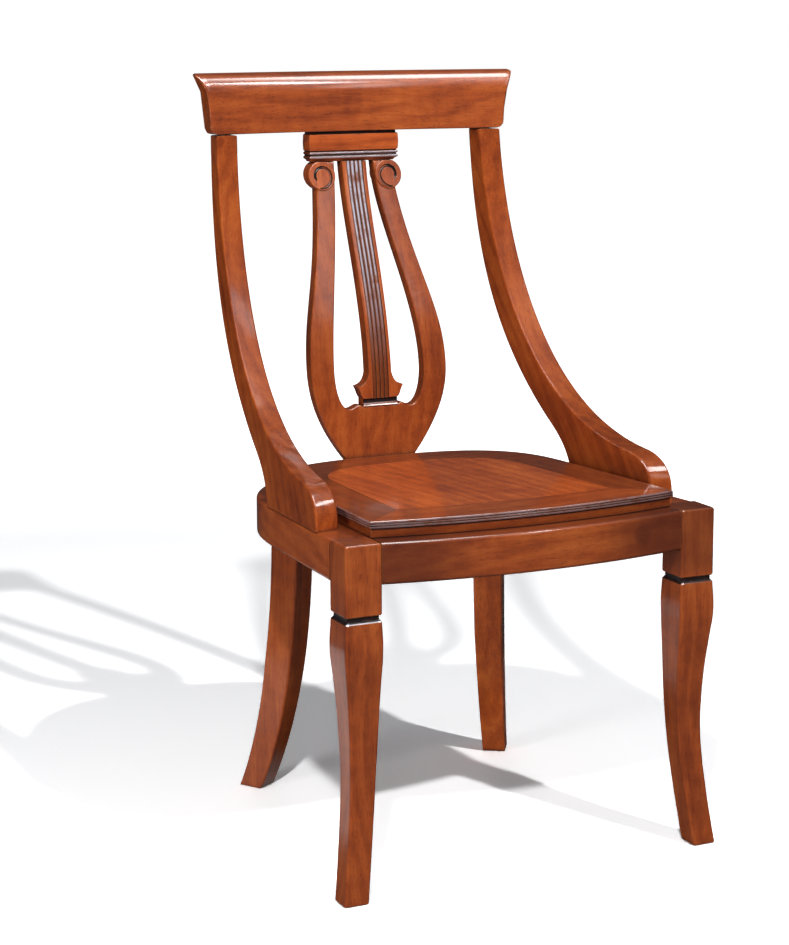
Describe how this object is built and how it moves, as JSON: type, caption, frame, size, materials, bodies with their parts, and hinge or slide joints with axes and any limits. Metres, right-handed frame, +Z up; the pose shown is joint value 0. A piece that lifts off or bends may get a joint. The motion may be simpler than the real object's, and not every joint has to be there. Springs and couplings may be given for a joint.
{
  "type": "dining chair",
  "caption": "Wooden dining chair with a lyre shaped back splat, swept stiles, curved crest rail, sabre legs and a veneered wooden seat with a reeded edge.",
  "frame": {"origin": "on the floor, in the middle of the chair's bounding box", "axes": "+Z up, +Y from the front of the seat to the back, X across the chair"},
  "size_m": [0.508, 0.5702, 0.9485],
  "materials": {
    "stained_wood": "reddish brown stain under gloss lacquer",
    "dark_stained_wood": "dark reddish brown stain under gloss lacquer",
    "bare_wood": "sawn and unfinished",
    "steel": "bright zinc"
  },
  "bodies": {
    "root": {"back_left_block": "bare_wood", "back_left_block_screw_1": "steel", "back_left_block_screw_2": "steel", "back_left_block_seat_screw": "steel", "back_left_leg": "stained_wood", "back_left_leg_dowel": "bare_wood", "back_rail": "stained_wood", "back_right_block": "bare_wood", "back_right_block_screw_1": "steel", "back_right_block_screw_2": "steel", "back_right_block_seat_screw": "steel", "back_right_leg": "stained_wood", "back_right_leg_dowel": "bare_wood", "crest_rail": "stained_wood", "front_left_block": "bare_wood", "front_left_block_screw_1": "steel", "front_left_block_screw_2": "steel", "front_left_block_seat_screw": "steel", "front_left_leg": "stained_wood", "front_rail": "stained_wood", "front_right_block": "bare_wood", "front_right_block_screw_1": "steel", "front_right_block_screw_2": "steel", "front_right_block_seat_screw": "steel", "front_right_leg": "stained_wood", "left_capital_dowel": "bare_wood", "left_crest_dowel": "bare_wood", "left_rail": "stained_wood", "left_rail_spline": "bare_wood", "left_stile": "stained_wood", "left_stile_back_dowel": "bare_wood", "left_stile_front_dowel": "bare_wood", "left_volute_dowel": "bare_wood", "lyre_capital": "stained_wood", "lyre_column": "stained_wood", "lyre_splat": "stained_wood", "right_capital_dowel": "bare_wood", "right_crest_dowel": "bare_wood", "right_rail": "stained_wood", "right_rail_spline": "bare_wood", "right_stile": "stained_wood", "right_stile_back_dowel": "bare_wood", "right_stile_front_dowel": "bare_wood", "right_volute_dowel": "bare_wood", "seat_back_band": "stained_wood", "seat_board": "dark_stained_wood", "seat_field": "stained_wood", "seat_front_band": "stained_wood", "seat_left_band": "stained_wood", "seat_plinth": "dark_stained_wood", "seat_right_band": "stained_wood"}
  },
  "joints": []
}
